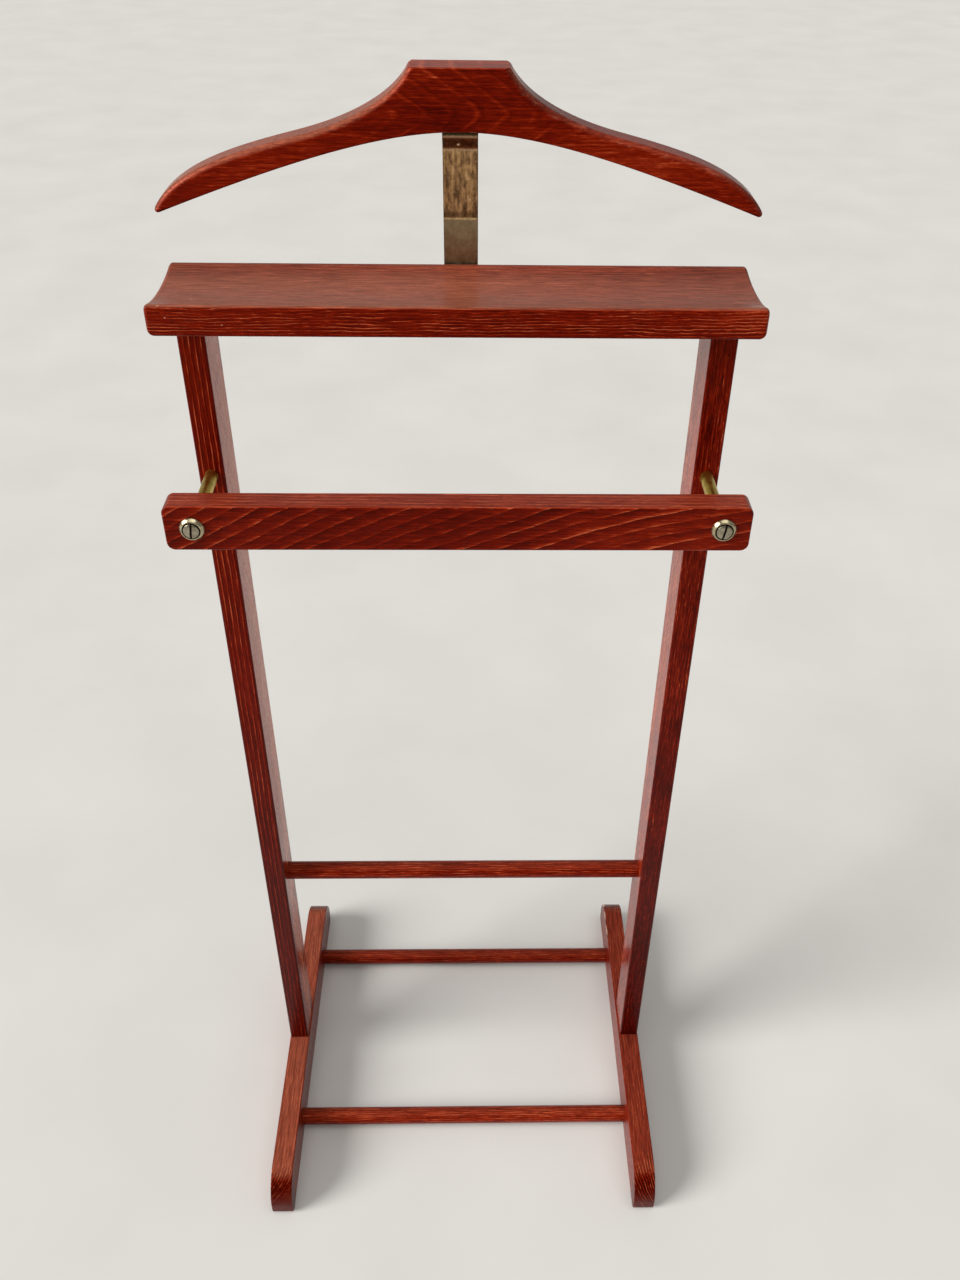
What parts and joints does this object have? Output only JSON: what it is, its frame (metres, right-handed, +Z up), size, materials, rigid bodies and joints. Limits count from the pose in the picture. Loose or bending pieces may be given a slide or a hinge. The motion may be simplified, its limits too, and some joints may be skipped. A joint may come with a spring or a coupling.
{
  "type": "valet stand",
  "caption": "Free-standing wooden valet stand: coat hanger on a sliding brass strap, dished tray, trouser bar on brass posts and low shoe rails.",
  "frame": {"origin": "on the floor, midway between the two feet and midway along them", "axes": "+X to the right seen from the front, +Y to the back, +Z up"},
  "size_m": [0.427, 0.389, 1.0575],
  "materials": {
    "stained_beech": "mahogany-red stain under a satin lacquer",
    "raw_beech": "plain turned beech",
    "brass": "dull brass",
    "nickelled_brass": "worn nickel over brass",
    "aged_brass": "tarnished and spotted brass plating"
  },
  "bodies": {
    "frame": {"left_foot": "stained_beech", "right_foot": "stained_beech", "left_upright": "stained_beech", "right_upright": "stained_beech", "upper_rail": "stained_beech", "front_shoe_rail": "stained_beech", "rear_shoe_rail": "stained_beech", "foot_pegs": "raw_beech", "tray_pegs": "raw_beech", "valet_tray": "stained_beech", "trouser_bar": "stained_beech", "left_bar_post": "brass", "right_bar_post": "brass", "left_cup_washer": "nickelled_brass", "right_cup_washer": "nickelled_brass", "left_bar_screw": "nickelled_brass", "right_bar_screw": "nickelled_brass", "strap_sleeve": "aged_brass", "sleeve_screws": "brass", "friction_spring": "brass"},
    "hanger": {"coat_hanger": "stained_beech", "hanger_strap": "aged_brass", "strap_screws": "brass"}
  },
  "joints": [
    {"name": "hanger_height", "type": "slide", "parent": "frame", "child": "hanger", "axis": [0, 0, 1], "range_m": [-0.042, 0]}
  ]
}
